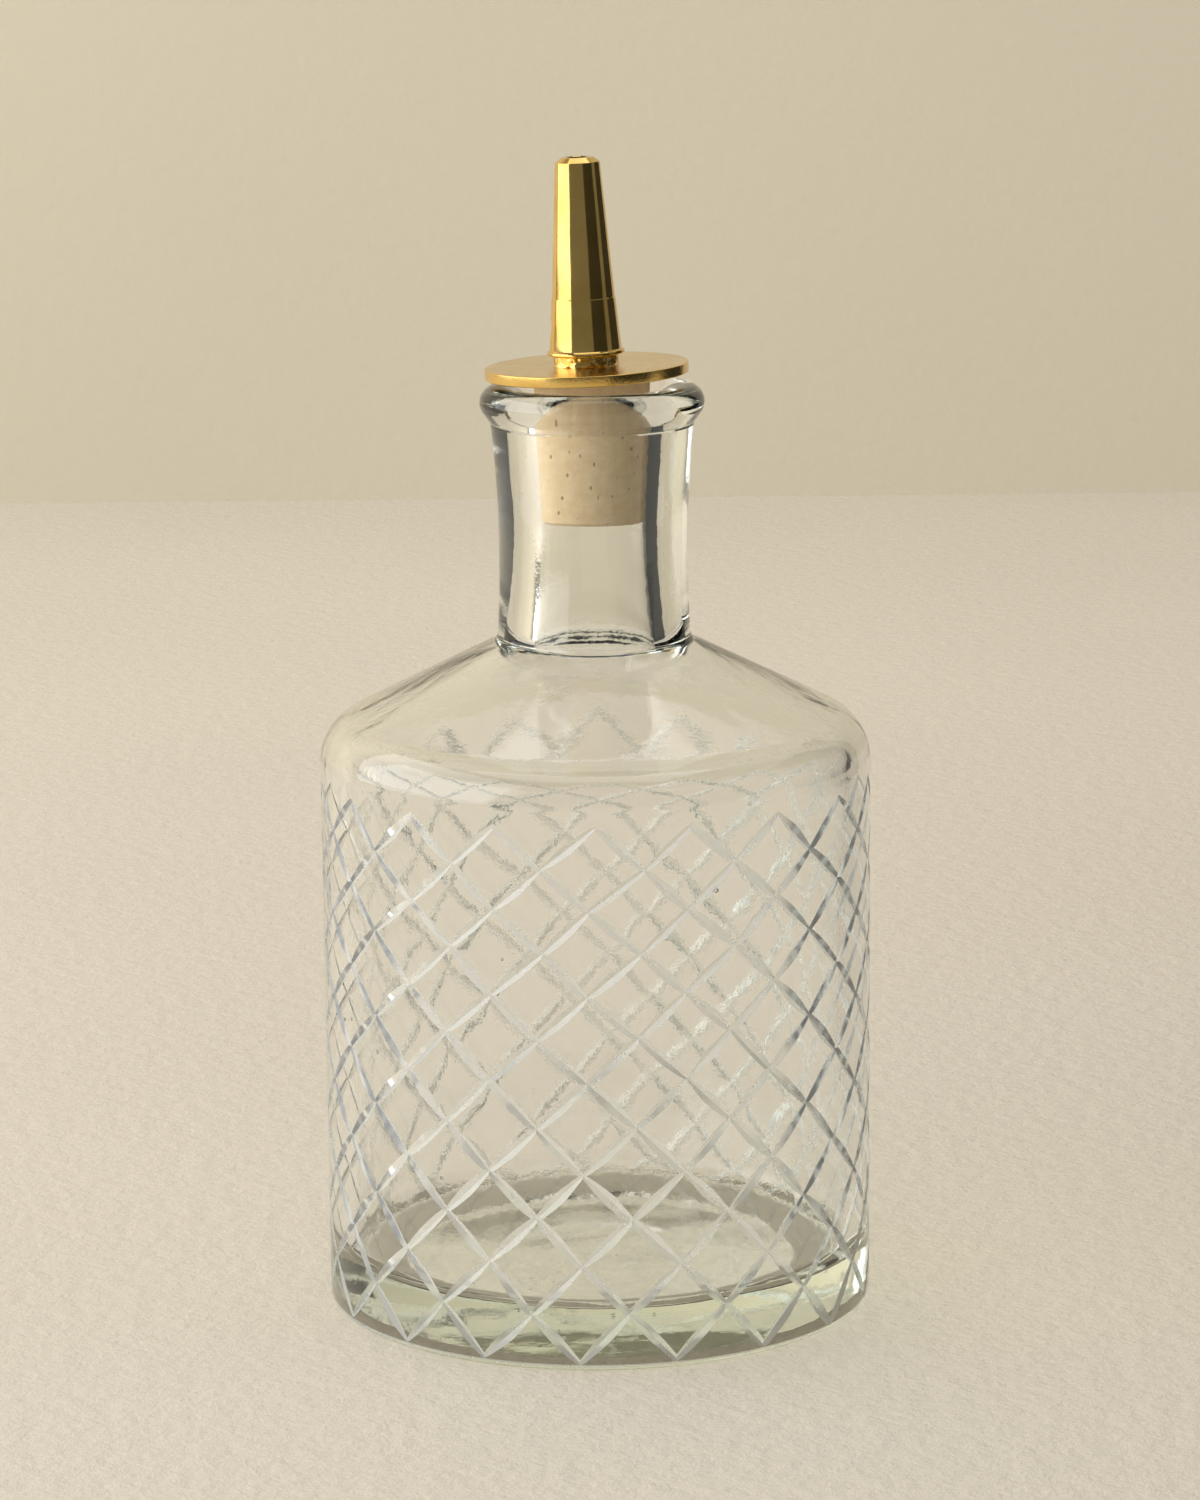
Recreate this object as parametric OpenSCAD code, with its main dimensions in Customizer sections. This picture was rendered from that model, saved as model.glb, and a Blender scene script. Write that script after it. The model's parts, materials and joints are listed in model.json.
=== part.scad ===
// Cut glass bitters bottle with a cork and a brass dasher spout.
// Millimetres, +Z up. The origin is the middle of the base, on the table.

/* [Body] */
// Outer diameter of the body
body_d = 78; // [72:0.5:88]
// Height at which the straight side turns into the shoulder
side_h = 78.6; // [60:0.2:100]
// Radius of the shoulder's outer corner
shoulder_r = 7.5; // [5:0.5:12]
// Slope of the shoulder cone, in degrees from level
shoulder_slope = 26.5; // [20:0.5:34]
// Radius of the outer edge at the base
base_edge_r = 1.5; // [0.8:0.1:3]
// Thickness of the body wall and the shoulder
wall_t = 3.5; // [2.5:0.1:4.5]
// Thickness of the glass under the cavity
base_t = 8; // [5:0.5:12]
// Radius of the cavity's bottom corner
floor_r = 3; // [1:0.5:6]
// Depth of the shallow hollow under the base
kick_depth = 0.8; // [0.4:0.1:1.6]
// Diameter of the shallow hollow under the base
kick_d = 56; // [40:1:62]

/* [Neck and lip] */
// Outer diameter of the neck at its waist
neck_d = 26.6; // [25:0.2:30]
// Radius of the neck's long inward curve
neck_curve_r = 180; // [120:10:400]
// Height of the waist above the foot of the neck
waist_h = 11.5; // [8:0.5:16]
// Radius of the fillet where the neck meets the shoulder
neck_fillet_r = 1.6; // [1:0.1:3]
// Height from the foot of the neck to the top of the lip
neck_h = 35.7; // [32:0.1:46]
// Outer diameter of the lip
lip_d = 31.6; // [30:0.2:35]
// Radius of the lip's rounded edge
lip_r = 2.4; // [2:0.1:2.8]
// How far the lip's lower round sits in from the upper one
lip_taper = 0.8; // [0.4:0.1:1.4]
// How far the lip's lower round sits under the upper one
lip_drop = 1.1; // [0.6:0.1:2]
// Radius of the rounding on the inside of the mouth
mouth_r = 4.7; // [4:0.1:5]
// Diameter of the bore in the neck
bore_d = 14.7; // [13.5:0.1:15.5]
// How much the bore has widened at the foot of the neck, on the radius
bore_flare = 1.2; // [0.6:0.1:2]
// Diameter of the ground seat for the cork at its wide end
seat_d = 16; // [15.6:0.1:16.4]

/* [Cork] */
// Length of the cork
cork_len = 19.6; // [16:0.2:24]
// How far the cork stands out above the lip
cork_stand = 0.9; // [0.4:0.1:3]
// Chamfer on the cork's lower edge
cork_chamfer = 0.4; // [0.2:0.1:1]
// Radial clearance of the cork in its seat
cork_fit = 0.08; // [0.02:0.01:0.1]

/* [Dasher] */
// Lean of the dasher in the cork, in degrees towards -X
dasher_lean = 2; // [0:0.1:3]
// Diameter of the flange disc
flange_d = 28.6; // [24:0.2:32]
// Thickness of the flange disc
flange_t = 1.5; // [1:0.1:2.5]
// Gap between the cork's top and the flange where they are closest
flange_gap = 0.15; // [0.1:0.05:0.5]
// Outer diameter of the collar under the spout
collar_d = 9.3; // [9:0.1:9.9]
// Height of the collar
collar_h = 1.5; // [1:0.1:2.5]
// Outer diameter of the stem tube
stem_d = 6; // [5.4:0.1:6.4]
// Wall of the stem tube
stem_wall = 0.6; // [0.4:0.05:0.8]
// Radial clearance of the stem in the cork
stem_fit = 0.06; // [0.02:0.01:0.1]
// Radial clearance of the stem in the flange and the collar
stem_slip = 0.04; // [0.02:0.01:0.1]

/* [Spout] */
// Height of the spout
spout_h = 27.4; // [24:0.2:34]
// Outer diameter of the spout just above its foot ring
spout_foot_d = 10.1; // [9.6:0.1:10.6]
// Outer diameter of the spout at the crease
crease_d = 8.8; // [8.2:0.1:9.4]
// Height of the crease above the spout's foot
crease_h = 7.9; // [6.6:0.1:10]
// Step on the radius at the crease
crease_step = 0.08; // [0.04:0.02:0.2]
// Outer diameter of the spout at the tip
tip_d = 6.3; // [5.4:0.1:7]
// Diameter of the flat rim round the tip's hole
rim_d = 4.4; // [4:0.1:5]
// Height of the chamfer at the tip
tip_chamfer_h = 0.7; // [0.4:0.1:1.2]
// Diameter of the tip's hole
tip_hole_d = 3; // [2:0.1:3.4]
// Wall of the spout
spout_wall = 0.6; // [0.4:0.05:0.8]
// Outer diameter of the ring round the spout's foot
foot_ring_d = 10.9; // [10.8:0.1:11.6]
// Height of the ring round the spout's foot
foot_ring_h = 0.6; // [0.4:0.1:1]
// Diameter of the vent hole
vent_d = 2.5; // [1.5:0.1:3]
// Height of the vent hole above the spout's foot
vent_h = 3.8; // [3:0.1:5]

/* [Hidden] */
$fn = 96;
fine_fn = 720;
over = 1;
body_r = body_d / 2;
cavity_r = body_r - wall_t;
neck_r = neck_d / 2;
bore_r = bore_d / 2;
seat_r = seat_d / 2;
lip_outer_r = lip_d / 2;

// Shoulder cone: it leaves the corner where its slope touches the arc.
corner_x = body_r - shoulder_r;
cone_x = corner_x + shoulder_r * sin(shoulder_slope);
cone_z = side_h + shoulder_r * cos(shoulder_slope);
function cone_top(x, inset = 0) =
    cone_z + (cone_x - x) * tan(shoulder_slope) - inset / cos(shoulder_slope);

// Heights up the neck
neck_foot_z = cone_top(neck_r);
lip_top_z = neck_foot_z + neck_h;
waist_z = neck_foot_z + waist_h;

// Fillet at the foot of the neck: it touches the neck's long curve and the cone.
curve_middle = [neck_r + neck_curve_r, waist_z];
cone_rise = tan(shoulder_slope);
fillet_reach = neck_curve_r - neck_fillet_r;
fillet_drop = cone_top(0, -neck_fillet_r) - waist_z;
fillet_b = curve_middle[0] + cone_rise * fillet_drop;
fillet_c = pow(curve_middle[0], 2) + pow(fillet_drop, 2) - pow(fillet_reach, 2);
fillet_a = 1 + pow(cone_rise, 2);
fillet_x = (fillet_b - sqrt(pow(fillet_b, 2) - fillet_a * fillet_c)) / fillet_a;
fillet_middle = [fillet_x, cone_top(fillet_x, -neck_fillet_r)];
fillet_on_neck = curve_middle + (fillet_middle - curve_middle) * neck_curve_r / fillet_reach;
fillet_on_cone = fillet_middle - [sin(shoulder_slope), cos(shoulder_slope)] * neck_fillet_r;

// Centres of the lip's two rounds
lip_upper = [lip_outer_r - lip_r, lip_top_z - lip_r];
lip_lower = lip_upper - [lip_taper, lip_drop];

// Cork and seat: the neck is ground from the mouth down to the cork's lower end.
cork_top_z = lip_top_z + cork_stand;
cork_low_z = cork_top_z - cork_len;
seat_top_z = lip_top_z - mouth_r;
seat_low_z = cork_low_z;
seat_h = seat_top_z - seat_low_z;
function seat_radius(z) = bore_r + (seat_r - bore_r) * (z - seat_low_z) / seat_h;
function cork_radius(z) = seat_radius(z) - cork_fit;

// Dasher: heights along its own axis, from the middle of the cork's lower end.
flange_low = cork_len + cork_radius(cork_top_z) * tan(dasher_lean) + flange_gap;
collar_low = flange_low + flange_t;
spout_low = collar_low + collar_h;
stem_r = stem_d / 2;
stem_top = spout_low;

module on_dasher() {
    translate([0, 0, cork_low_z])
        rotate([0, -dasher_lean, 0])
            children();
}

// Half profile of the outside of the body, up to the foot of the neck
module body_outline() {
    translate([0, 0]) square([body_r - base_edge_r, side_h]);
    translate([0, base_edge_r]) square([body_r, side_h - base_edge_r]);
    translate([body_r - base_edge_r, base_edge_r]) circle(r = base_edge_r);
    translate([corner_x, side_h]) circle(r = shoulder_r);
    polygon([
        [0, side_h],
        [corner_x, side_h],
        [cone_x, cone_z],
        [0, cone_top(0)]
    ]);
}

// Half profile of the outside of the neck, with the corner that its fillet is cut from
module neck_outline() {
    difference() {
        translate([0, side_h]) square([lip_outer_r, lip_lower[1] - side_h]);
        translate(curve_middle) circle(r = neck_curve_r, $fn = fine_fn);
    }
    polygon([
        [0, fillet_on_cone[1]],
        fillet_on_cone,
        fillet_middle,
        fillet_on_neck,
        [0, fillet_on_neck[1]]
    ]);
}

// Half profile of the lip: two equal rounds, the lower one set in
module lip_outline() {
    side = [lip_drop, -lip_taper] * lip_r / norm([lip_taper, lip_drop]);
    translate(lip_upper) circle(r = lip_r);
    translate(lip_lower) circle(r = lip_r);
    polygon([
        [0, lip_top_z],
        [0, lip_lower[1] - lip_r],
        [lip_lower[0], lip_lower[1] - lip_r],
        lip_lower,
        lip_lower + side,
        lip_upper + side,
        lip_upper,
        [lip_upper[0], lip_top_z]
    ]);
}

// Half profile of the cavity, the bore and the mouth
module hollow_outline() {
    inner_corner_r = shoulder_r - wall_t;
    flare_z = cone_top(bore_r, wall_t);
    flare_h = seat_low_z - flare_z;
    flare_arc_r = (flare_h * flare_h / bore_flare + bore_flare) / 2;
    translate([0, base_t]) square([cavity_r - floor_r, side_h - base_t]);
    translate([0, base_t + floor_r]) square([cavity_r, side_h - base_t - floor_r]);
    translate([cavity_r - floor_r, base_t + floor_r]) circle(r = floor_r);
    translate([corner_x, side_h]) circle(r = inner_corner_r);
    polygon([
        [0, side_h],
        [corner_x, side_h],
        [corner_x + inner_corner_r * sin(shoulder_slope), side_h + inner_corner_r * cos(shoulder_slope)],
        [bore_r, flare_z],
        [0, flare_z]
    ]);
    difference() {
        translate([0, flare_z - over]) square([bore_r + bore_flare, flare_h + over]);
        translate([bore_r + flare_arc_r, seat_low_z]) circle(r = flare_arc_r, $fn = fine_fn);
    }
    polygon([
        [0, seat_low_z],
        [bore_r, seat_low_z],
        [seat_r, seat_top_z],
        [0, seat_top_z]
    ]);
    difference() {
        translate([0, seat_top_z]) square([seat_r + mouth_r, mouth_r + over]);
        translate([seat_r + mouth_r, seat_top_z]) circle(r = mouth_r);
    }
}

// Shallow dish under the base, so that the bottle stands on a ring
module kick() {
    kick_r = kick_d / 2;
    dish_r = (kick_r * kick_r / kick_depth + kick_depth) / 2;
    translate([0, kick_depth - dish_r]) circle(r = dish_r, $fn = fine_fn);
}

module bottle_outline() {
    difference() {
        union() {
            body_outline();
            neck_outline();
            lip_outline();
        }
        translate(fillet_middle) circle(r = neck_fillet_r);
        hollow_outline();
        kick();
    }
}

module glass_bottle() {
    color("lightcyan")
        rotate_extrude()
            intersection() {
                bottle_outline();
                square([body_r + over, lip_top_z + over]);
            }
}

module cork_stopper() {
    color("burlywood")
        difference() {
            translate([0, 0, cork_low_z]) {
                cylinder(h = cork_chamfer, r1 = cork_radius(cork_low_z) - cork_chamfer,
                         r2 = cork_radius(cork_low_z + cork_chamfer));
                translate([0, 0, cork_chamfer])
                    cylinder(h = cork_len - cork_chamfer,
                             r1 = cork_radius(cork_low_z + cork_chamfer), r2 = cork_radius(cork_top_z));
            }
            on_dasher()
                translate([0, 0, -over])
                    cylinder(h = cork_len + 2 * over + flange_low, r = stem_r + stem_fit);
        }
}

module flange_disc() {
    color("gold")
        on_dasher()
            translate([0, 0, flange_low])
                difference() {
                    cylinder(h = flange_t, r = flange_d / 2);
                    translate([0, 0, -over]) cylinder(h = flange_t + 2 * over, r = stem_r + stem_slip);
                }
}

module spout_collar() {
    color("goldenrod")
        on_dasher()
            translate([0, 0, collar_low])
                difference() {
                    cylinder(h = collar_h, r = collar_d / 2);
                    translate([0, 0, -over]) cylinder(h = collar_h + 2 * over, r = stem_r + stem_slip);
                }
}

// Half profile of the spout's wall, from its foot to the rim of the tip
module spout_outline() {
    foot_r = spout_foot_d / 2;
    crease_r = crease_d / 2;
    tip_r = tip_d / 2;
    hole_r = tip_hole_d / 2;
    ring_r = foot_ring_h / 2;
    shaft_h = spout_h - tip_chamfer_h;
    polygon([
        [foot_r - spout_wall, 0],
        [foot_r, 0],
        [foot_r, foot_ring_h],
        [crease_r + crease_step, crease_h],
        [crease_r, crease_h],
        [tip_r, shaft_h],
        [rim_d / 2, spout_h],
        [hole_r, spout_h],
        [hole_r, shaft_h - spout_wall],
        [tip_r - spout_wall, shaft_h - 2 * spout_wall],
        [crease_r - spout_wall, crease_h]
    ]);
    translate([foot_r - spout_wall / 2, 0])
        square([foot_ring_d / 2 - ring_r - foot_r + spout_wall / 2, foot_ring_h]);
    translate([foot_ring_d / 2 - ring_r, ring_r]) circle(r = ring_r);
}

module spout() {
    color("gold")
        on_dasher()
            translate([0, 0, spout_low])
                difference() {
                    rotate_extrude() spout_outline();
                    translate([0, 0, vent_h])
                        rotate([0, -90, 0])
                            cylinder(h = foot_ring_d, r = vent_d / 2);
                }
}

module stem_tube() {
    color("darkgoldenrod")
        on_dasher()
            difference() {
                cylinder(h = stem_top, r = stem_r);
                translate([0, 0, -over]) cylinder(h = stem_top + 2 * over, r = stem_r - stem_wall);
            }
}

glass_bottle();
cork_stopper();
flange_disc();
spout_collar();
spout();
stem_tube();
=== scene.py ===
import json
import random
from math import atan2, cos, degrees, hypot, pi, radians, sin, sqrt, tan

import bmesh
import bpy
from mathutils import Euler, Matrix, Vector, noise

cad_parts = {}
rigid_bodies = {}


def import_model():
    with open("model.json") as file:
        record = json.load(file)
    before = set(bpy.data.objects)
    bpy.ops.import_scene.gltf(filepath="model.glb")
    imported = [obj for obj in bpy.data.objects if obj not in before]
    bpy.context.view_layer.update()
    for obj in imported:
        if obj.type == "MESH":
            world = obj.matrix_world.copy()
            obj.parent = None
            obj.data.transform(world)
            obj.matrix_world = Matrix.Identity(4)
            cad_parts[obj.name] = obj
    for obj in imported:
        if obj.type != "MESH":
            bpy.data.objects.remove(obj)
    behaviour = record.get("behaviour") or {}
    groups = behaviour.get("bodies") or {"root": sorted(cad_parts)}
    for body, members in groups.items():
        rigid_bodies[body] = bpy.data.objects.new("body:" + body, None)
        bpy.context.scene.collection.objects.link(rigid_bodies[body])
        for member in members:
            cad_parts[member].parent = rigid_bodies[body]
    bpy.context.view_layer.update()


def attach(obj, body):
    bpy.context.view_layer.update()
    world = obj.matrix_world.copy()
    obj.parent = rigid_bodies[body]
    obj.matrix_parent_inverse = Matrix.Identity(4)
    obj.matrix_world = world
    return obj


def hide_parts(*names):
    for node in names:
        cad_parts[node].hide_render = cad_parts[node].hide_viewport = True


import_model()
mm = 0.001
weldGap = 0.000002    # metres
random.seed(7)
print("frame loaded")


# Small helpers that the pieces share

def deselectAll():
    if bpy.context.mode != "OBJECT":
        bpy.ops.object.mode_set(mode="OBJECT")
    bpy.ops.object.select_all(action="DESELECT")


def makeActive(piece):
    deselectAll()
    piece.select_set(True)
    bpy.context.view_layer.objects.active = piece


def arcPoints(centre, radius, start, end, count):
    points = []
    for i in range(count + 1):
        angle = radians(start + (end - start) * i / count)
        points.append((centre[0] + radius * cos(angle), centre[1] + radius * sin(angle)))
    return points


def spreadPoints(start, end, count):
    points = []
    for i in range(count + 1):
        x = start[0] + (end[0] - start[0]) * i / count
        z = start[1] + (end[1] - start[1]) * i / count
        points.append((x, z))
    return points


def angleOf(centre, point):
    return degrees(atan2(point[1] - centre[1], point[0] - centre[0]))


def spunPiece(name, outline, steps, closed=False):
    # a ring of vertices is laid along the half outline (mm), then spun round the Z axis
    deselectAll()
    bpy.ops.mesh.primitive_circle_add(vertices=len(outline), radius=0.01, location=(0, 0, 0))
    piece = bpy.context.object
    piece.name = name
    piece.data.name = name
    bpy.ops.object.mode_set(mode="EDIT")
    mesh = bmesh.from_edit_mesh(piece.data)
    mesh.verts.ensure_lookup_table()
    for vert, (x, z) in zip(mesh.verts, outline):
        vert.co = (x * mm, 0, z * mm)
    if not closed:
        mesh.edges.remove(mesh.edges.get((mesh.verts[0], mesh.verts[len(outline) - 1])))
    bmesh.update_edit_mesh(piece.data)
    bpy.ops.mesh.select_all(action="SELECT")
    bpy.ops.mesh.spin(steps=steps, angle=2 * pi, center=(0, 0, 0), axis=(0, 0, 1))
    bpy.ops.mesh.select_all(action="SELECT")
    bpy.ops.mesh.remove_doubles(threshold=weldGap)
    bpy.ops.mesh.normals_make_consistent(inside=False)
    bpy.ops.object.mode_set(mode="OBJECT")
    return piece


def cutAway(piece, cutter):
    boolean = piece.modifiers.new("cut", "BOOLEAN")
    boolean.operation = "DIFFERENCE"
    boolean.solver = "EXACT"
    boolean.object = cutter
    makeActive(piece)
    bpy.ops.object.modifier_apply(modifier=boolean.name)
    bpy.data.objects.remove(cutter)


def smoothTo(piece, limit):
    makeActive(piece)
    bpy.ops.object.shade_smooth_by_angle(angle=radians(limit))


def finishPiece(piece, node, body, material):
    piece.data.materials.clear()
    piece.data.materials.append(material)
    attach(piece, body)
    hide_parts(node)


# Node helpers for the materials

def newMaterial(name):
    material = bpy.data.materials.new(name)
    material.use_nodes = True
    nodes = material.node_tree.nodes
    return material, nodes, material.node_tree.links, nodes["Principled BSDF"]


def objectPlace(nodes, links, stretch=1):
    # object coordinates; a stretch below 1 draws the pattern out along Z
    place = nodes.new("ShaderNodeTexCoord")
    mapping = nodes.new("ShaderNodeMapping")
    mapping.inputs["Scale"].default_value = (1, 1, stretch)
    links.new(place.outputs["Object"], mapping.inputs["Vector"])
    return mapping.outputs["Vector"]


def noiseField(nodes, links, place, scale, detail, roughness, distortion=0):
    field = nodes.new("ShaderNodeTexNoise")
    field.inputs["Scale"].default_value = scale
    field.inputs["Detail"].default_value = detail
    field.inputs["Roughness"].default_value = roughness
    field.inputs["Distortion"].default_value = distortion
    links.new(place, field.inputs["Vector"])
    return field.outputs["Fac"]


def spread(nodes, links, value, fromRange, toRange):
    ramp = nodes.new("ShaderNodeMapRange")
    ramp.inputs["From Min"].default_value = fromRange[0]
    ramp.inputs["From Max"].default_value = fromRange[1]
    ramp.inputs["To Min"].default_value = toRange[0]
    ramp.inputs["To Max"].default_value = toRange[1]
    links.new(value, ramp.inputs["Value"])
    return ramp.outputs["Result"]


def colourRamp(nodes, links, value, fromRange, low, high):
    ramp = nodes.new("ShaderNodeValToRGB")
    for element, position, colour in zip(ramp.color_ramp.elements, fromRange, (low, high)):
        element.position = position
        element.color = (*colour, 1)
    links.new(value, ramp.inputs["Fac"])
    return ramp.outputs["Color"]


def bump(nodes, links, height, distance, before=None):
    node = nodes.new("ShaderNodeBump")
    node.inputs["Distance"].default_value = distance
    node.inputs["Strength"].default_value = 1
    links.new(height, node.inputs["Height"])
    if before is not None:
        links.new(before, node.inputs["Normal"])
    return node.outputs["Normal"]


def mixShaders(nodes, links, share, first, second):
    mix = nodes.new("ShaderNodeMixShader")
    links.new(share, mix.inputs["Fac"])
    links.new(first, mix.inputs[1])
    links.new(second, mix.inputs[2])
    return mix.outputs["Shader"]


# Glass. A noise is given as scale, detail, roughness and, where it has one, distortion

glassLook = {
    "tint": (0.998, 1.0, 0.999),
    "ior": 1.5,
    "smear": (260, 4, 0.6),
    "smearRange": (0.35, 0.75),
    "roughness": (0.0036, 0.0216),    # polished glass, clean and smeared
    "cutRoughness": (0.12, 0.384),    # ground cuts
    "cutHaze": 0.27,                  # how much of a ground cut scatters light
    "hazeColour": (0.95, 0.97, 0.97),
    "ripple": (75, 2, 0.45, 0.4),     # slow unevenness of blown glass
    "rippleStretch": 0.45,
    "rippleHeight": 0.00016,
    "speck": (900, 3, 0.6),           # fine marks on the surface
    "speckHeight": 0.000012,
    "greenInside": (0.82, 0.93, 0.76),
    "greenDensity": 10,
    "shadowTint": (0.94, 0.94, 0.92),
}


def glassMaterial(name):
    # one material for the whole bottle: the face attribute "cut" tells the ground cuts from the rest
    look = glassLook
    material, nodes, links, shader = newMaterial(name)
    shader.inputs["Base Color"].default_value = (*look["tint"], 1)
    shader.inputs["IOR"].default_value = look["ior"]
    shader.inputs["Transmission Weight"].default_value = 1
    place = objectPlace(nodes, links)
    smear = noiseField(nodes, links, place, *look["smear"])
    cut = nodes.new("ShaderNodeAttribute")
    cut.attribute_name = "cut"
    mixRough = nodes.new("ShaderNodeMix")
    links.new(cut.outputs["Fac"], mixRough.inputs["Factor"])
    links.new(spread(nodes, links, smear, look["smearRange"], look["roughness"]), mixRough.inputs[2])
    links.new(spread(nodes, links, smear, look["smearRange"], look["cutRoughness"]), mixRough.inputs[3])
    links.new(mixRough.outputs[0], shader.inputs["Roughness"])
    ripple = noiseField(nodes, links, objectPlace(nodes, links, look["rippleStretch"]), *look["ripple"])
    speck = noiseField(nodes, links, place, *look["speck"])
    normal = bump(nodes, links, ripple, look["rippleHeight"])
    normal = bump(nodes, links, speck, look["speckHeight"], normal)
    links.new(normal, shader.inputs["Normal"])
    ground = nodes.new("ShaderNodeBsdfDiffuse")
    ground.inputs["Color"].default_value = (*look["hazeColour"], 1)
    hazeShare = spread(nodes, links, cut.outputs["Fac"], (0, 1), (0, look["cutHaze"]))
    haze = mixShaders(nodes, links, hazeShare, shader.outputs["BSDF"], ground.outputs["BSDF"])
    # glass lets the lamps' light through, so its shadow is only a tint
    rays = nodes.new("ShaderNodeLightPath")
    clear = nodes.new("ShaderNodeBsdfTransparent")
    clear.inputs["Color"].default_value = (*look["shadowTint"], 1)
    surface = mixShaders(nodes, links, rays.outputs["Is Shadow Ray"], haze, clear.outputs["BSDF"])
    inside = nodes.new("ShaderNodeVolumeAbsorption")
    inside.inputs["Color"].default_value = (*look["greenInside"], 1)
    inside.inputs["Density"].default_value = look["greenDensity"]
    output = nodes["Material Output"]
    links.new(surface, output.inputs["Surface"])
    links.new(inside.outputs["Volume"], output.inputs["Volume"])
    return material


clearGlass = glassMaterial("clearGlass")
print("glass material ready")


# Bottle: the same profile as the CAD node, in mm

bottle = {
    "bodyRadius": 39,
    "sideHeight": 78.6,
    "shoulderRadius": 7.5,
    "shoulderSlope": 26.5,
    "baseEdge": 1.5,
    "baseEdgeStart": -80,
    "wall": 3.5,
    "baseThickness": 8,
    "floorRadius": 3,
    "kickDepth": 0.8,
    "kickRadius": 28,
    "neckRadius": 13.3,
    "neckCurve": 180,
    "waistHeight": 11.5,
    "neckFillet": 1.6,
    "neckHeight": 35.7,
    "underLip": 0.86,       # where the neck's curve ends, in lip rounds below the lower lip's middle
    "underLipAngle": -52,
    "lipRadius": 15.8,
    "lipRound": 2.4,
    "lipTaper": 0.8,
    "lipDrop": 1.1,
    "mouthRound": 4.7,
    "boreRadius": 7.35,
    "boreFlare": 1.2,
    "flareRound": 1.6,      # where the flared bore turns into the cavity's roof
    "flareRoundRise": 0.6,
    "flareRoundEnd": 245,
    "roofStart": 2.2,
    "seatRadius": 8,
    "corkLength": 19.6,
    "corkStand": 0.9,
    "steps": 240,           # segments round the axis
    "smoothLimit": 14,
}

slope = radians(bottle["shoulderSlope"])
cornerX = bottle["bodyRadius"] - bottle["shoulderRadius"]
coneX = cornerX + bottle["shoulderRadius"] * sin(slope)
coneZ = bottle["sideHeight"] + bottle["shoulderRadius"] * cos(slope)


def coneTop(x, inset=0):
    return coneZ + (coneX - x) * tan(slope) - inset / cos(slope)


neckFootZ = coneTop(bottle["neckRadius"])
waistZ = neckFootZ + bottle["waistHeight"]
lipTopZ = neckFootZ + bottle["neckHeight"]
corkLowZ = lipTopZ + bottle["corkStand"] - bottle["corkLength"]
seatTopZ = lipTopZ - bottle["mouthRound"]


def neckCentres():
    # the middle of the fillet that touches the neck's long curve and the shoulder cone, and the curve's own
    reach = bottle["neckCurve"] - bottle["neckFillet"]
    curveX = bottle["neckRadius"] + bottle["neckCurve"]
    drop = coneTop(0, -bottle["neckFillet"]) - waistZ
    squareTerm = 1 + tan(slope) ** 2
    halfTerm = curveX + tan(slope) * drop
    plainTerm = curveX ** 2 + drop ** 2 - reach ** 2
    filletX = (halfTerm - sqrt(halfTerm * halfTerm - squareTerm * plainTerm)) / squareTerm
    return (filletX, coneTop(filletX, -bottle["neckFillet"])), (curveX, waistZ)


def footOutline():
    # from the middle of the shallow hollow below, round the base and up the side to the shoulder
    body = bottle["bodyRadius"]
    edge = bottle["baseEdge"]
    side = bottle["sideHeight"]
    kick = bottle["kickRadius"]
    dish = (kick ** 2 / bottle["kickDepth"] + bottle["kickDepth"]) / 2
    dishCentre = (0, bottle["kickDepth"] - dish)
    points = arcPoints(dishCentre, dish, 90, angleOf(dishCentre, (kick, 0)), 10)
    points += spreadPoints((kick + 2, 0), (body - edge, 0), 2)
    points += arcPoints((body - edge, edge), edge, bottle["baseEdgeStart"], 0, 7)
    points += spreadPoints((body, edge + 3), (body, side - 2), 12)
    points += arcPoints((cornerX, side), bottle["shoulderRadius"], 0, 90 - bottle["shoulderSlope"], 18)
    return points


def neckOutline():
    # up the shoulder cone, the fillet, the neck's long curve and round the lip
    fillet = bottle["neckFillet"]
    curve = bottle["neckCurve"]
    lip = bottle["lipRound"]
    filletCentre, curveCentre = neckCentres()
    towards = Vector(filletCentre) - Vector(curveCentre)
    onNeck = Vector(curveCentre) + towards * curve / (curve - fillet)
    foot = (filletCentre[0] - fillet * sin(slope), filletCentre[1] - fillet * cos(slope))
    points = spreadPoints((coneX, coneZ), foot, 10)[1:-1]
    filletEnd = angleOf(filletCentre, onNeck) % 360 - 360
    points += arcPoints(filletCentre, fillet, -90 - bottle["shoulderSlope"], filletEnd, 8)
    lowLip = (bottle["lipRadius"] - lip - bottle["lipTaper"], lipTopZ - lip - bottle["lipDrop"])
    highLip = (bottle["lipRadius"] - lip, lipTopZ - lip)
    tilt = angleOf((0, 0), (bottle["lipDrop"], -bottle["lipTaper"]))
    curveStart = angleOf(curveCentre, onNeck) % 360
    underLipZ = lowLip[1] - lip * bottle["underLip"]
    curveEnd = 180 - 180 / pi * (underLipZ - waistZ) / curve
    points += arcPoints(curveCentre, curve, curveStart, curveEnd, 16)[1:]
    points += arcPoints(lowLip, lip, bottle["underLipAngle"], tilt, 8)
    points += arcPoints(highLip, lip, tilt, 90, 14)[1:]
    return points


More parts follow.
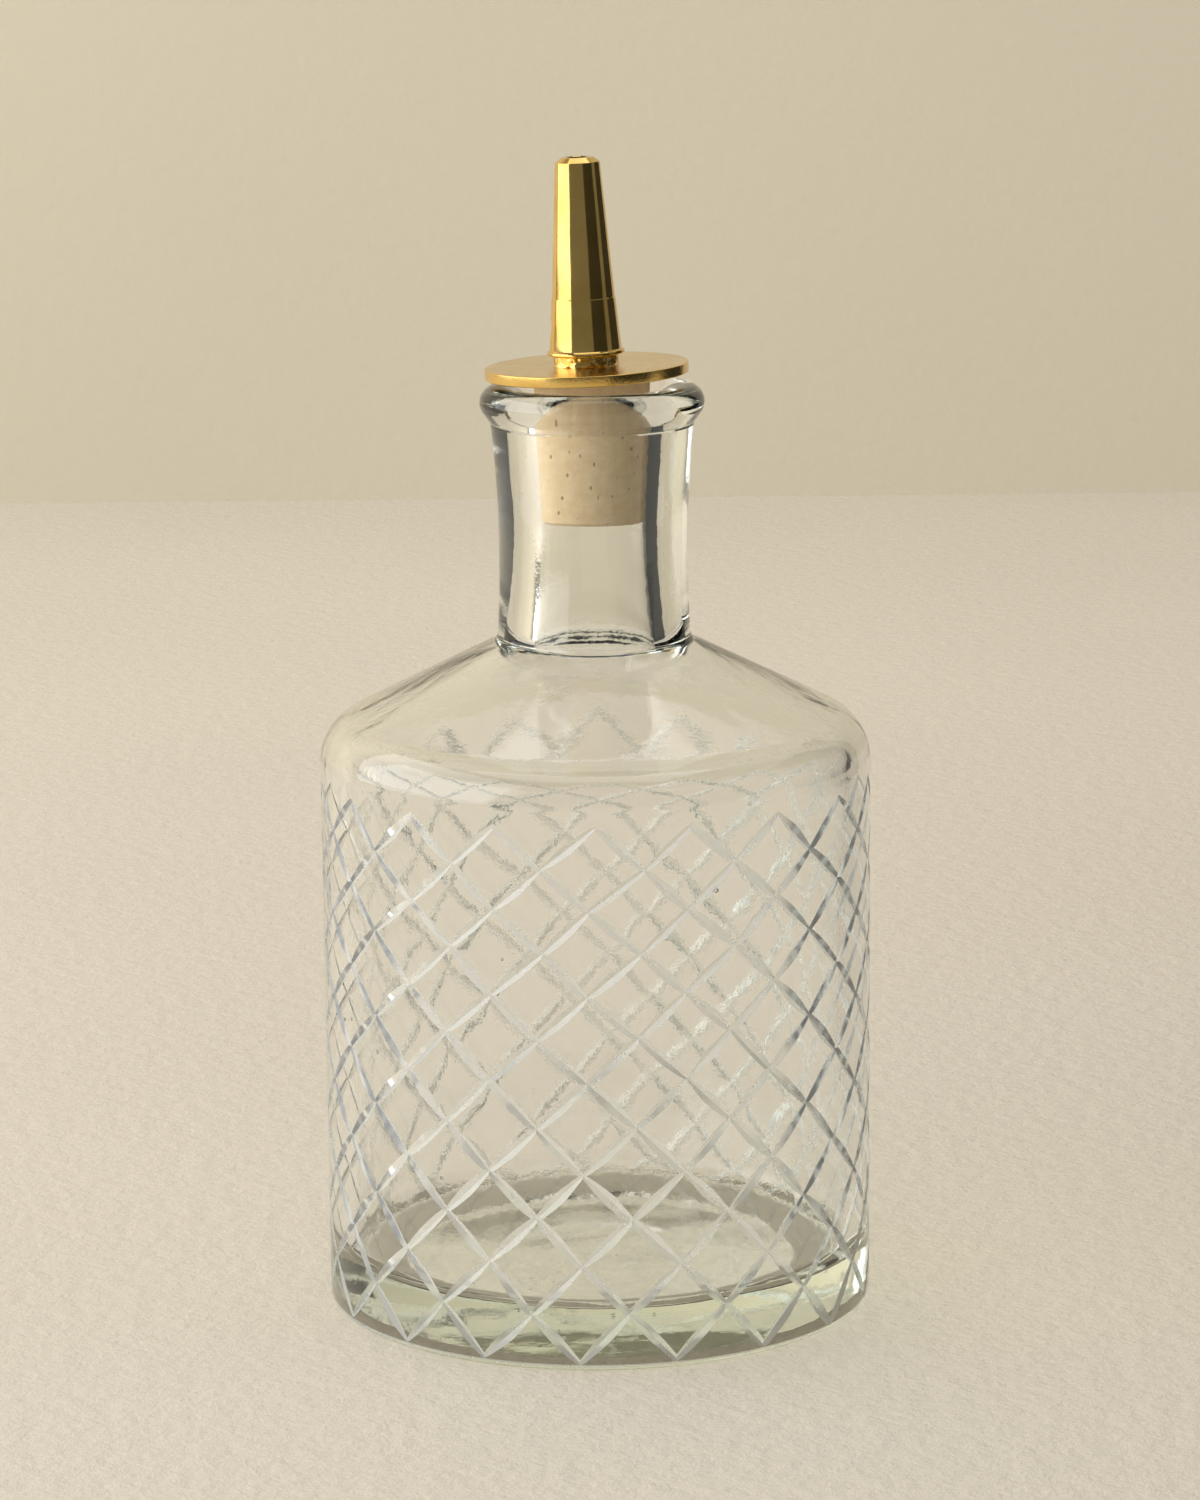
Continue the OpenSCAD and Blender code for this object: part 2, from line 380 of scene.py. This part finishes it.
def boreOutline():
    # from the lip down the ground seat and the flared bore
    bore = bottle["boreRadius"]
    mouth = bottle["mouthRound"]
    seat = bottle["seatRadius"]
    points = arcPoints((seat + mouth, seatTopZ), mouth, 90, 180, 10)
    points += spreadPoints((seat, seatTopZ), (bore, corkLowZ), 8)[1:]
    flareX = bore + bottle["boreFlare"]
    flareZ = coneTop(bore, bottle["wall"])
    flareHeight = corkLowZ - flareZ
    flareArc = (flareHeight ** 2 / bottle["boreFlare"] + bottle["boreFlare"]) / 2
    flareCentre = (bore + flareArc, corkLowZ)
    flareEnd = angleOf(flareCentre, (flareX, flareZ)) % 360
    points += arcPoints(flareCentre, flareArc, 180, flareEnd, 14)[1:]
    turn = bottle["flareRound"]
    turnCentre = (flareX + turn, coneTop(flareX, bottle["wall"]) + bottle["flareRoundRise"])
    points += arcPoints(turnCentre, turn, 180, bottle["flareRoundEnd"], 5)[1:]
    return points


def cavityOutline():
    # along the cavity's roof, down its wall and over its floor to the middle
    side = bottle["sideHeight"]
    thick = bottle["baseThickness"]
    low = bottle["floorRadius"]
    high = bottle["shoulderRadius"] - bottle["wall"]
    cavity = bottle["bodyRadius"] - bottle["wall"]
    roofX = bottle["boreRadius"] + bottle["boreFlare"] + bottle["roofStart"]
    roofEnd = (cornerX + high * sin(slope), side + high * cos(slope))
    points = spreadPoints((roofX, coneTop(roofX, bottle["wall"])), roofEnd, 14)
    points += arcPoints((cornerX, side), high, 90 - bottle["shoulderSlope"], 0, 10)[1:]
    points += spreadPoints((cavity, side - 1.5), (cavity, thick + low + 1), 34)
    points += arcPoints((cavity - low, thick + low), low, 0, -90, 8)
    points += spreadPoints((cavity - low - 2, thick), (0, thick), 16)
    return points


wander = {
    # the glass was blown and worked by hand, so its inner wall wanders a little
    "reach": 0.14,          # mm
    "floorTimes": 2.2,      # more on the cavity's floor
    "scale": 48,
    "stretch": 0.6,
    "fineScale": 2.7,
    "fineShare": 0.45,
    "fineShift": (3, 1, 7),
    "margin": 0.3,
    "endRadius": 9,         # it stops where the cavity's roof has this radius
}


def wanderInside(piece):
    wall = bottle["wall"]
    thick = bottle["baseThickness"]
    widest = bottle["bodyRadius"] - wall + wander["margin"]
    for vert in piece.data.vertices:
        x, y, z = vert.co
        radius = hypot(x, y) / mm
        height = z / mm
        inCavity = height > thick - 0.1 and radius < widest
        belowCone = height < coneTop(radius, wall) + wander["margin"]
        if inCavity and belowCone and height < coneTop(wander["endRadius"], wall):
            field = Vector((x, y, z * wander["stretch"])) * wander["scale"]
            fine = noise.noise(field * wander["fineScale"] + Vector(wander["fineShift"]))
            shift = noise.noise(field) + wander["fineShare"] * fine
            amount = wander["reach"] * mm * shift
            if height < thick + 1:
                vert.co.z += amount * wander["floorTimes"]
            elif radius > 1:
                vert.co.x += x / (radius * mm) * amount
                vert.co.y += y / (radius * mm) * amount


# Cut lattice: straight cuts between crossings, deepest and widest at their middles

lattice = {
    "count": 18,
    "rows": 12,
    "low": 1.6,
    "high": 76.5,
    "middleLift": 2,
    "turn": -94,
    "twist": 3.5,
    "cutDepth": 0.45,
    "crossingDepth": 0.2,
    "cutAngle": 116,
    "wanderTurn": 0.55,     # degrees that a crossing is off its place, by hand
    "wanderHeight": 0.28,   # mm
    "wanderDepth": 0.07,    # mm
    "maskDepth": 0.6,       # a face within this of the side, and turned from it, is a ground cut
    "maskFacing": 0.97,
}


def latticeCutter():
    count = lattice["count"]
    rows = lattice["rows"]
    body = bottle["bodyRadius"]
    step = 360 / count
    rise = (lattice["high"] - lattice["low"]) / rows
    run = body * sin(radians(step / 2))
    span = run * rise / hypot(run, rise)
    peak = body - lattice["cutDepth"] + span / tan(radians(lattice["cutAngle"] / 2))
    mesh = bmesh.new()

    def point(radius, row, halfTurns, i, loose):
        turn = lattice["turn"] + lattice["twist"] * row / rows + step * (i + halfTurns / 2)
        height = lattice["low"] + rise * row + lattice["middleLift"] * sin(radians(180 * row / rows))
        turn += loose * random.uniform(-1, 1) * lattice["wanderTurn"]
        height += loose * random.uniform(-1, 1) * lattice["wanderHeight"]
        radius += loose * random.uniform(-1, 1) * lattice["wanderDepth"]
        angle = radians(turn)
        return mesh.verts.new((radius * mm * cos(angle), radius * mm * sin(angle), height * mm))

    def ring(radius, row, halfTurns, loose=0):
        return [point(radius, row, halfTurns, i, loose) for i in range(count)]

    crossing = [ring(body - lattice["crossingDepth"], row, row % 2, 1) for row in range(rows + 1)]
    peaks = [ring(peak, row, (row + 1) % 2) for row in range(rows + 1)]
    lowRim = ring(peak, -1, 0)
    highRim = ring(peak, rows + 1, 0)
    lowSleeve = ring(peak + 1, -1, 0)
    highSleeve = ring(peak + 1, rows + 1, 0)

    def middle(first, second):
        # halfway between two crossings, and deeper
        half = (first.co + second.co) / 2
        radius = hypot(half.x, half.y)
        wanted = (body - lattice["cutDepth"] + random.uniform(-1, 1) * lattice["wanderDepth"]) * mm
        return mesh.verts.new((half.x / radius * wanted, half.y / radius * wanted, half.z))

    for row in range(rows):
        for i in range(count):
            before = (i - 1) % count if row % 2 == 0 else i
            after = i if row % 2 == 0 else (i + 1) % count
            here = crossing[row][i]
            over = peaks[row + 1][i]
            left = crossing[row + 1][before]
            right = crossing[row + 1][after]
            leftPeak = peaks[row][before]
            rightPeak = peaks[row][after]
            rightMiddle = middle(here, right)
            leftMiddle = middle(here, left)
            for corners in (
                (here, rightMiddle, over), (rightMiddle, right, over),
                (here, rightPeak, rightMiddle), (rightMiddle, rightPeak, right),
                (here, over, leftMiddle), (leftMiddle, over, left),
                (here, leftMiddle, leftPeak), (leftMiddle, left, leftPeak),
            ):
                mesh.faces.new(corners)
    for i in range(count):
        after = (i + 1) % count
        for corners in (
            (peaks[0][i - 1], lowRim[i], crossing[0][i]),
            (lowRim[i], peaks[0][i], crossing[0][i]),
            (lowRim[i], lowSleeve[i], peaks[0][i]),
            (peaks[0][i], lowSleeve[i], lowSleeve[after]),
            (peaks[0][i], lowSleeve[after], lowRim[after]),
            (peaks[rows][i - 1], crossing[rows][i], highRim[i]),
            (highRim[i], crossing[rows][i], peaks[rows][i]),
            (highRim[i], peaks[rows][i], highSleeve[i]),
            (peaks[rows][i], highSleeve[after], highSleeve[i]),
            (peaks[rows][i], highRim[after], highSleeve[after]),
            (lowSleeve[i], highSleeve[i], highSleeve[after], lowSleeve[after]),
        ):
            mesh.faces.new(corners)
    bmesh.ops.recalc_face_normals(mesh, faces=mesh.faces)
    data = bpy.data.meshes.new("latticeCutter")
    mesh.to_mesh(data)
    mesh.free()
    cutter = bpy.data.objects.new("latticeCutter", data)
    bpy.context.scene.collection.objects.link(cutter)
    return cutter


bubbleLook = {
    # small voids that the thick base and the wall hold, in mm
    "count": 70,
    "sizes": (0.12, 0.42),
    "shrink": (0.5, 1),
    "stretch": (0.8, 1.5),
    "everyWall": 3,             # every third is in the wall, the others in the base
    "wallShifts": (-0.5, 0.2),
    "wallHeights": (10, 74),
    "baseInset": 3,
    "baseShares": (0.1, 1),
    "baseLow": 2,
    "baseCover": 1.5,
}


def makeBubbles():
    made = []
    for i in range(bubbleLook["count"]):
        radius = random.uniform(*bubbleLook["sizes"]) * random.uniform(*bubbleLook["shrink"])
        angle = random.uniform(0, 2 * pi)
        if i % bubbleLook["everyWall"] == 0:
            wallMiddle = bottle["bodyRadius"] - bottle["wall"] / 2
            distance = wallMiddle + random.uniform(*bubbleLook["wallShifts"])
            height = random.uniform(*bubbleLook["wallHeights"])
        else:
            widest = bottle["bodyRadius"] - bubbleLook["baseInset"]
            distance = widest * sqrt(random.uniform(*bubbleLook["baseShares"]))
            height = random.uniform(bubbleLook["baseLow"], bottle["baseThickness"] - bubbleLook["baseCover"])
        place = (distance * cos(angle) * mm, distance * sin(angle) * mm, height * mm)
        deselectAll()
        bpy.ops.mesh.primitive_ico_sphere_add(subdivisions=2, radius=radius * mm, location=place)
        bubble = bpy.context.object
        bubble.scale = (1, 1, random.uniform(*bubbleLook["stretch"]))
        bpy.ops.object.transform_apply(location=True, rotation=True, scale=True)
        bpy.ops.object.mode_set(mode="EDIT")
        bpy.ops.mesh.select_all(action="SELECT")
        bpy.ops.mesh.flip_normals()
        bpy.ops.object.mode_set(mode="OBJECT")
        made.append(bubble)
    return made


def markCuts(piece):
    # the face attribute that the glass material reads
    mask = piece.data.attributes.new("cut", "FLOAT", "FACE")
    body = bottle["bodyRadius"]
    for face in piece.data.polygons:
        x, y, z = face.center
        outward = Vector((x, y, 0)).normalized()
        onSide = body - lattice["maskDepth"] < hypot(x, y) / mm < body + 0.01
        inLattice = lattice["low"] - 1 < z / mm < lattice["high"] + 1
        turned = face.normal.dot(outward) < lattice["maskFacing"]
        mask.data[face.index].value = 1 if onSide and inLattice and turned else 0


def makeBottle():
    outline = footOutline() + neckOutline() + boreOutline() + cavityOutline()
    piece = spunPiece("cutGlassBottle", outline, bottle["steps"])
    wanderInside(piece)
    cutAway(piece, latticeCutter())
    bubbles = makeBubbles()
    makeActive(piece)
    for bubble in bubbles:
        bubble.select_set(True)
    bpy.ops.object.join()
    smoothTo(piece, bottle["smoothLimit"])
    finishPiece(piece, "glass_bottle", "bottle", clearGlass)
    markCuts(piece)
    print("bottle:", len(piece.data.polygons), "faces")


makeBottle()


# Brass

brassLook = {
    "bright": (0.82, 0.57, 0.19),
    "deep": (0.70, 0.44, 0.11),
    "cloud": (120, 4, 0.6),
    "cloudRange": (0.3, 0.62),
    "smear": (420, 5, 0.65),
    "smearRange": (0.3, 0.75),
    "roughness": (0.063, 0.144),
    "brushedRoughness": (0.063, 0.234),
    "turned": (1400, 2, 0.5),      # marks of the lathe
    "turnedStretch": 0.08,
    "turnedHeight": 0.000004,
    "wobble": (160, 2, 0.5),       # slow waves that bend the reflections
    "wobbleStretch": 0.35,
    "wobbleHeight": 0.00008,
    "crinkle": 0.0004,             # taller waves, on the collar only
    "grain": (2600, 3, 0.7),
    "grainHeight": 0.00003,
}


def brassMaterial(name, brushed, crinkle=0):
    look = brassLook
    material, nodes, links, shader = newMaterial(name)
    shader.inputs["Metallic"].default_value = 1
    place = objectPlace(nodes, links)
    cloud = noiseField(nodes, links, place, *look["cloud"])
    tone = colourRamp(nodes, links, cloud, look["cloudRange"], look["deep"], look["bright"])
    links.new(tone, shader.inputs["Base Color"])
    smear = noiseField(nodes, links, place, *look["smear"])
    polish = look["brushedRoughness"] if brushed else look["roughness"]
    links.new(spread(nodes, links, smear, look["smearRange"], polish), shader.inputs["Roughness"])
    turned = noiseField(nodes, links, objectPlace(nodes, links, look["turnedStretch"]), *look["turned"])
    wobble = noiseField(nodes, links, objectPlace(nodes, links, look["wobbleStretch"]), *look["wobble"])
    normal = bump(nodes, links, turned, look["turnedHeight"])
    normal = bump(nodes, links, wobble, look["wobbleHeight"] + crinkle, normal)
    if brushed:
        grain = noiseField(nodes, links, place, *look["grain"])
        normal = bump(nodes, links, grain, look["grainHeight"], normal)
    links.new(normal, shader.inputs["Normal"])
    return material


spoutBrass = brassMaterial("spoutBrass", False)
discBrass = brassMaterial("discBrass", True)
collarBrass = brassMaterial("collarBrass", True, brassLook["crinkle"])

dasher = {
    "lean": 2,
    "discRadius": 14.3,
    "discThickness": 1.5,
    "discLow": 20.04,
    "discEdge": 0.16,
    "collarRadius": 4.65,
    "collarHeight": 1.5,
    "dentZone": 0.45,       # the share of the collar's height, from its middle, that is crinkled
    "dentScale": 1500,
    "dentStretch": 1.6,
    "dentFineScale": 2.3,
    "dentFineShare": 0.25,
    "dentDepth": 0.32,
    "spoutHeight": 27.4,
    "footRadius": 5.05,
    "footBlend": 0.12,
    "creaseRadius": 4.4,
    "creaseHeight": 7.9,
    "creaseStep": 0.08,
    "creaseHalf": 0.06,
    "tipRadius": 3.15,
    "rimRadius": 2.2,
    "tipChamfer": 0.7,
    "tipHole": 1.5,
    "tipHoleEdge": 0.08,
    "wall": 0.6,
    "footRing": 5.45,
    "footRingHeight": 0.6,
    "ventRadius": 1.25,
    "ventHeight": 3.8,
    "ventPlace": -6,
    "ventLength": 8,
    "stemRadius": 3,
    "stemGap": 0.04,
    "steps": 128,
}

leanTurn = Matrix.Translation((0, 0, corkLowZ * mm)) @ Matrix.Rotation(radians(-dasher["lean"]), 4, "Y")
stemHole = dasher["stemRadius"] + dasher["stemGap"]
discHigh = dasher["discLow"] + dasher["discThickness"]
collarHigh = discHigh + dasher["collarHeight"]


def finishBrass(piece, node, material, smoothLimit):
    smoothTo(piece, smoothLimit)
    piece.data.transform(leanTurn)
    finishPiece(piece, node, "dasher", material)


def makeDisc():
    low = dasher["discLow"]
    edge = dasher["discEdge"]
    rimX = dasher["discRadius"] - edge
    outline = spreadPoints((stemHole, low), (rimX, low), 6)
    outline += arcPoints((rimX, low + edge), edge, -70, 0, 4)
    outline += arcPoints((rimX, discHigh - edge), edge, 0, 70, 4)
    outline += spreadPoints((rimX, discHigh), (stemHole, discHigh), 10)
    piece = spunPiece("brassDisc", outline, dasher["steps"], closed=True)
    finishBrass(piece, "flange_disc", discBrass, smoothLimit=30)


def makeCollar():
    radius = dasher["collarRadius"]
    outline = spreadPoints((stemHole, discHigh), (radius, discHigh), 3)
    outline += spreadPoints((radius, discHigh), (radius, collarHigh), 8)[1:]
    outline += spreadPoints((radius, collarHigh), (stemHole, collarHigh), 3)[1:]
    piece = spunPiece("crinkledCollar", outline, dasher["steps"], closed=True)
    middle = (discHigh + collarHigh) / 2 * mm
    reach = dasher["collarHeight"] * dasher["dentZone"] * mm
    for vert in piece.data.vertices:
        x, y, z = vert.co
        distance = hypot(x, y)
        onOutside = distance > radius * mm * 0.99
        if onOutside and abs(z - middle) < reach:
            # the thin brass is crinkled all round, always inwards
            field = Vector((x, y, z * dasher["dentStretch"])) * dasher["dentScale"]
            fine = noise.noise(field * dasher["dentFineScale"])
            dent = 0.5 + 0.5 * noise.noise(field) + dasher["dentFineShare"] * fine
            scale = 1 - dasher["dentDepth"] * mm * max(0, dent) / distance
            vert.co.x *= scale
            vert.co.y *= scale
    finishBrass(piece, "spout_collar", collarBrass, smoothLimit=40)


def spoutOutline():
    # from the foot up the outside to the tip, then down the inside, above the collar
    foot = dasher["footRadius"]
    wall = dasher["wall"]
    crease = dasher["creaseRadius"]
    creaseZ = dasher["creaseHeight"]
    half = dasher["creaseHalf"]
    tip = dasher["tipRadius"]
    rim = dasher["rimRadius"]
    hole = dasher["tipHole"]
    edge = dasher["tipHoleEdge"]
    top = dasher["spoutHeight"]
    shaft = top - dasher["tipChamfer"]
    ringHigh = dasher["footRingHeight"]
    ringHalf = ringHigh / 2
    blend = dasher["footBlend"]
    points = [(foot - wall, 0), (foot, 0)]
    points += arcPoints((dasher["footRing"] - ringHalf, ringHalf), ringHalf, -90, 90, 8)
    points += [(foot + blend, ringHigh), (foot, ringHigh + blend)]
    points += spreadPoints((foot - 0.01, ringHigh + 0.3), (crease + dasher["creaseStep"], creaseZ - half), 10)
    points += spreadPoints((crease, creaseZ + half), (tip, shaft - 0.05), 18)
    points += [(tip - 0.04, shaft + 0.03), (rim + 0.06, top - 0.03), (rim - 0.05, top)]
    points += [(hole + edge, top), (hole, top - edge), (hole, shaft - wall), (tip - wall, shaft - 2 * wall)]
    points += spreadPoints((crease - wall, creaseZ), (foot - wall, 0.3), 6)
    return points


def makeSpout():
    outline = [(x, collarHigh + z) for x, z in spoutOutline()]
    piece = spunPiece("brassSpout", outline, dasher["steps"], closed=True)
    ventPlace = (dasher["ventPlace"] * mm, 0, (collarHigh + dasher["ventHeight"]) * mm)
    deselectAll()
    bpy.ops.mesh.primitive_cylinder_add(vertices=48, radius=dasher["ventRadius"] * mm,
                                        depth=dasher["ventLength"] * mm, location=ventPlace,
                                        rotation=(0, pi / 2, 0))
    cutAway(piece, bpy.context.object)
    finishBrass(piece, "spout", spoutBrass, smoothLimit=20)


makeDisc()
makeCollar()
makeSpout()
print("brass pieces made")


# Cork

corkLook = {
    "pale": (0.88, 0.68, 0.42),
    "warm": (0.78, 0.55, 0.30),
    "pore": (0.50, 0.32, 0.16),
    "grain": (650, 5, 0.65),
    "grainRange": (0.3, 0.65),
    "grainHeight": 0.0001,
    "poreScale": 900,
    "poreStretch": 0.55,
    "poreRange": (0.07, 0.17),
    "poreHeight": 0.00015,
    "roughRange": (0.3, 0.7),
    "roughness": (0.75, 0.95),
}


def corkMaterial():
    look = corkLook
    material, nodes, links, shader = newMaterial("fineCork")
    grain = noiseField(nodes, links, objectPlace(nodes, links), *look["grain"])
    tone = colourRamp(nodes, links, grain, look["grainRange"], look["warm"], look["pale"])
    pores = nodes.new("ShaderNodeTexVoronoi")
    pores.inputs["Scale"].default_value = look["poreScale"]
    links.new(objectPlace(nodes, links, look["poreStretch"]), pores.inputs["Vector"])
    poreMask = colourRamp(nodes, links, pores.outputs["Distance"], look["poreRange"], (1, 1, 1), (0, 0, 0))
    mix = nodes.new("ShaderNodeMix")
    mix.data_type = "RGBA"
    links.new(poreMask, mix.inputs["Factor"])
    links.new(tone, mix.inputs[6])
    mix.inputs[7].default_value = (*look["pore"], 1)
    links.new(mix.outputs[2], shader.inputs["Base Color"])
    links.new(spread(nodes, links, grain, look["roughRange"], look["roughness"]), shader.inputs["Roughness"])
    normal = bump(nodes, links, poreMask, look["poreHeight"])
    normal = bump(nodes, links, grain, look["grainHeight"], normal)
    links.new(normal, shader.inputs["Normal"])
    return material


def dressNode(node, material):
    for piece in bpy.data.objects:
        if piece.type == "MESH" and piece.name == node:
            for place in piece.material_slots:
                place.material = material
            if not piece.material_slots:
                piece.data.materials.append(material)


dressNode("cork_stopper", corkMaterial())
dressNode("stem_tube", spoutBrass)
print("cork ready")


# Studio: pale table and wall, soft light from the left

studio = {
    "table": (0.71, 0.635, 0.525),
    "tablePlaster": 0.0006,
    "wall": (0.70, 0.635, 0.495),
    "wallPlaster": 0.00018,
    "plaster": (260, 5, 0.65),
    "cloud": (3, 2, 0.5),
    "cloudRange": (0.3, 0.7),
    "cloudShade": 0.03,
    "roughness": 0.9,
    "gloss": 0.2,
    "wallDistance": 0.776,
    "wallHeight": 2.5,
    "width": 4,
    "front": -2.2,
}


def backdropMaterial(name, colour, plasterHeight):
    material, nodes, links, shader = newMaterial(name)
    place = objectPlace(nodes, links)
    cloud = noiseField(nodes, links, place, *studio["cloud"])
    low = tuple(part * (1 - studio["cloudShade"]) for part in colour)
    high = tuple(part * (1 + studio["cloudShade"]) for part in colour)
    links.new(colourRamp(nodes, links, cloud, studio["cloudRange"], low, high), shader.inputs["Base Color"])
    shader.inputs["Roughness"].default_value = studio["roughness"]
    shader.inputs["Specular IOR Level"].default_value = studio["gloss"]
    plaster = noiseField(nodes, links, place, *studio["plaster"])
    links.new(bump(nodes, links, plaster, plasterHeight), shader.inputs["Normal"])
    return material


def makeBackdrop():
    half = studio["width"] / 2
    wallY = studio["wallDistance"]
    outline = [(studio["front"], 0), (wallY, 0), (wallY, studio["wallHeight"])]
    corners = [(-half, y, z) for y, z in outline] + [(half, y, z) for y, z in outline]
    data = bpy.data.meshes.new("backdrop")
    data.from_pydata(corners, [], [(3, 4, 1, 0), (4, 5, 2, 1)])
    data.materials.append(backdropMaterial("tableTop", studio["table"], studio["tablePlaster"]))
    data.materials.append(backdropMaterial("wallPaint", studio["wall"], studio["wallPlaster"]))
    for i, face in enumerate(data.polygons):
        face.material_index = i
    backdrop = bpy.data.objects.new("backdrop", data)
    bpy.context.scene.collection.objects.link(backdrop)


makeBackdrop()


flags = {
    # cards that draw the dark bands in the neck and the brass: middle, width, height
    "rightFlag": ((0.36, 0.17, 0.2), 0.32, 0.4),
    "frontFlag": ((0.42, -0.34, 0.27), 0.5, 0.5),
}

flagCloth = {
    "colour": (0.03, 0.032, 0.035),
    "roughness": 0.95,
}


def makeFlag(name, middle, width, height):
    deselectAll()
    bpy.ops.mesh.primitive_plane_add(size=1, location=middle)
    flag = bpy.context.object
    flag.name = name
    flag.scale = (width, height, 1)
    towards = -Vector(middle)
    towards.z = 0
    flag.rotation_euler = towards.to_track_quat("Z", "Y").to_euler()
    material, nodes, links, shader = newMaterial(name + "Cloth")
    shader.inputs["Base Color"].default_value = (*flagCloth["colour"], 1)
    shader.inputs["Roughness"].default_value = flagCloth["roughness"]
    flag.data.materials.append(material)
    flag.visible_camera = False


for flagName, settings in flags.items():
    makeFlag(flagName, *settings)


lamps = {
    # place, aim, width, height, power, colour
    "windowLeft": ((-1.03, -0.18, 0.56), (0, 0, 0.07), 1.75, 1.1, 12.5, (0.97, 0.99, 1)),
    "softRight": ((0.8, -0.8, 0.7), (0, 0, 0.07), 0.5, 0.6, 1.6, (0.95, 0.98, 1)),
    "softTop": ((0, 0.25, 1.4), (0, 0.2, 0), 1.0, 1.0, 3.8, (1, 1, 1)),
}


def areaLight(name, place, aim, width, height, power, colour):
    lamp = bpy.data.lights.new(name, "AREA")
    lamp.shape = "RECTANGLE"
    lamp.size = width
    lamp.size_y = height
    lamp.energy = power
    lamp.color = colour
    holder = bpy.data.objects.new(name, lamp)
    holder.location = place
    holder.rotation_euler = (Vector(aim) - Vector(place)).to_track_quat("-Z", "Y").to_euler()
    bpy.context.scene.collection.objects.link(holder)


for lampName, settings in lamps.items():
    areaLight(lampName, *settings)


air = {
    "colour": (0.98, 0.99, 1.0),
    "level": 0.62,
    "throughLevel": 1.0,    # what glass shows of the room behind it
    "mirrorLevel": 0.2,     # what brass and glass mirror of the room in front
}


def makeAir():
    world = bpy.context.scene.world or bpy.data.worlds.new("studioAir")
    bpy.context.scene.world = world
    world.use_nodes = True
    nodes = world.node_tree.nodes
    links = world.node_tree.links
    rays = nodes.new("ShaderNodeLightPath")
    background = nodes["Background"]
    background.inputs["Color"].default_value = (*air["colour"], 1)
    background.inputs["Strength"].default_value = air["level"]
    seen = background.outputs["Background"]
    for ray, level in (("Is Transmission Ray", air["throughLevel"]), ("Is Glossy Ray", air["mirrorLevel"])):
        other = nodes.new("ShaderNodeBackground")
        other.inputs["Color"].default_value = (*air["colour"], 1)
        other.inputs["Strength"].default_value = level
        seen = mixShaders(nodes, links, rays.outputs[ray], seen, other.outputs["Background"])
    links.new(seen, nodes["World Output"].inputs["Surface"])


makeAir()


# Camera: the photograph's angle, solved from the bottle's outline

view = {
    "place": (0.000677, -0.683471, 0.217625),
    "pitch": 11.422,
    "roll": -0.52,
    "lens": 117.8155,
    "sensorWidth": 36,
    "clipEnd": 20,
}


def makeCamera():
    data = bpy.data.cameras.new("photoCamera")
    data.lens = view["lens"]
    data.sensor_width = view["sensorWidth"]
    data.sensor_fit = "AUTO"
    data.clip_end = view["clipEnd"]
    camera = bpy.data.objects.new("photoCamera", data)
    camera.location = view["place"]
    tilt = Euler((radians(90 - view["pitch"]), 0, 0)).to_matrix()
    camera.rotation_euler = (tilt @ Euler((0, 0, radians(view["roll"]))).to_matrix()).to_euler()
    bpy.context.scene.collection.objects.link(camera)
    bpy.context.scene.camera = camera


makeCamera()
bpy.context.scene.view_settings.view_transform = "Standard"
print("studio and camera ready")
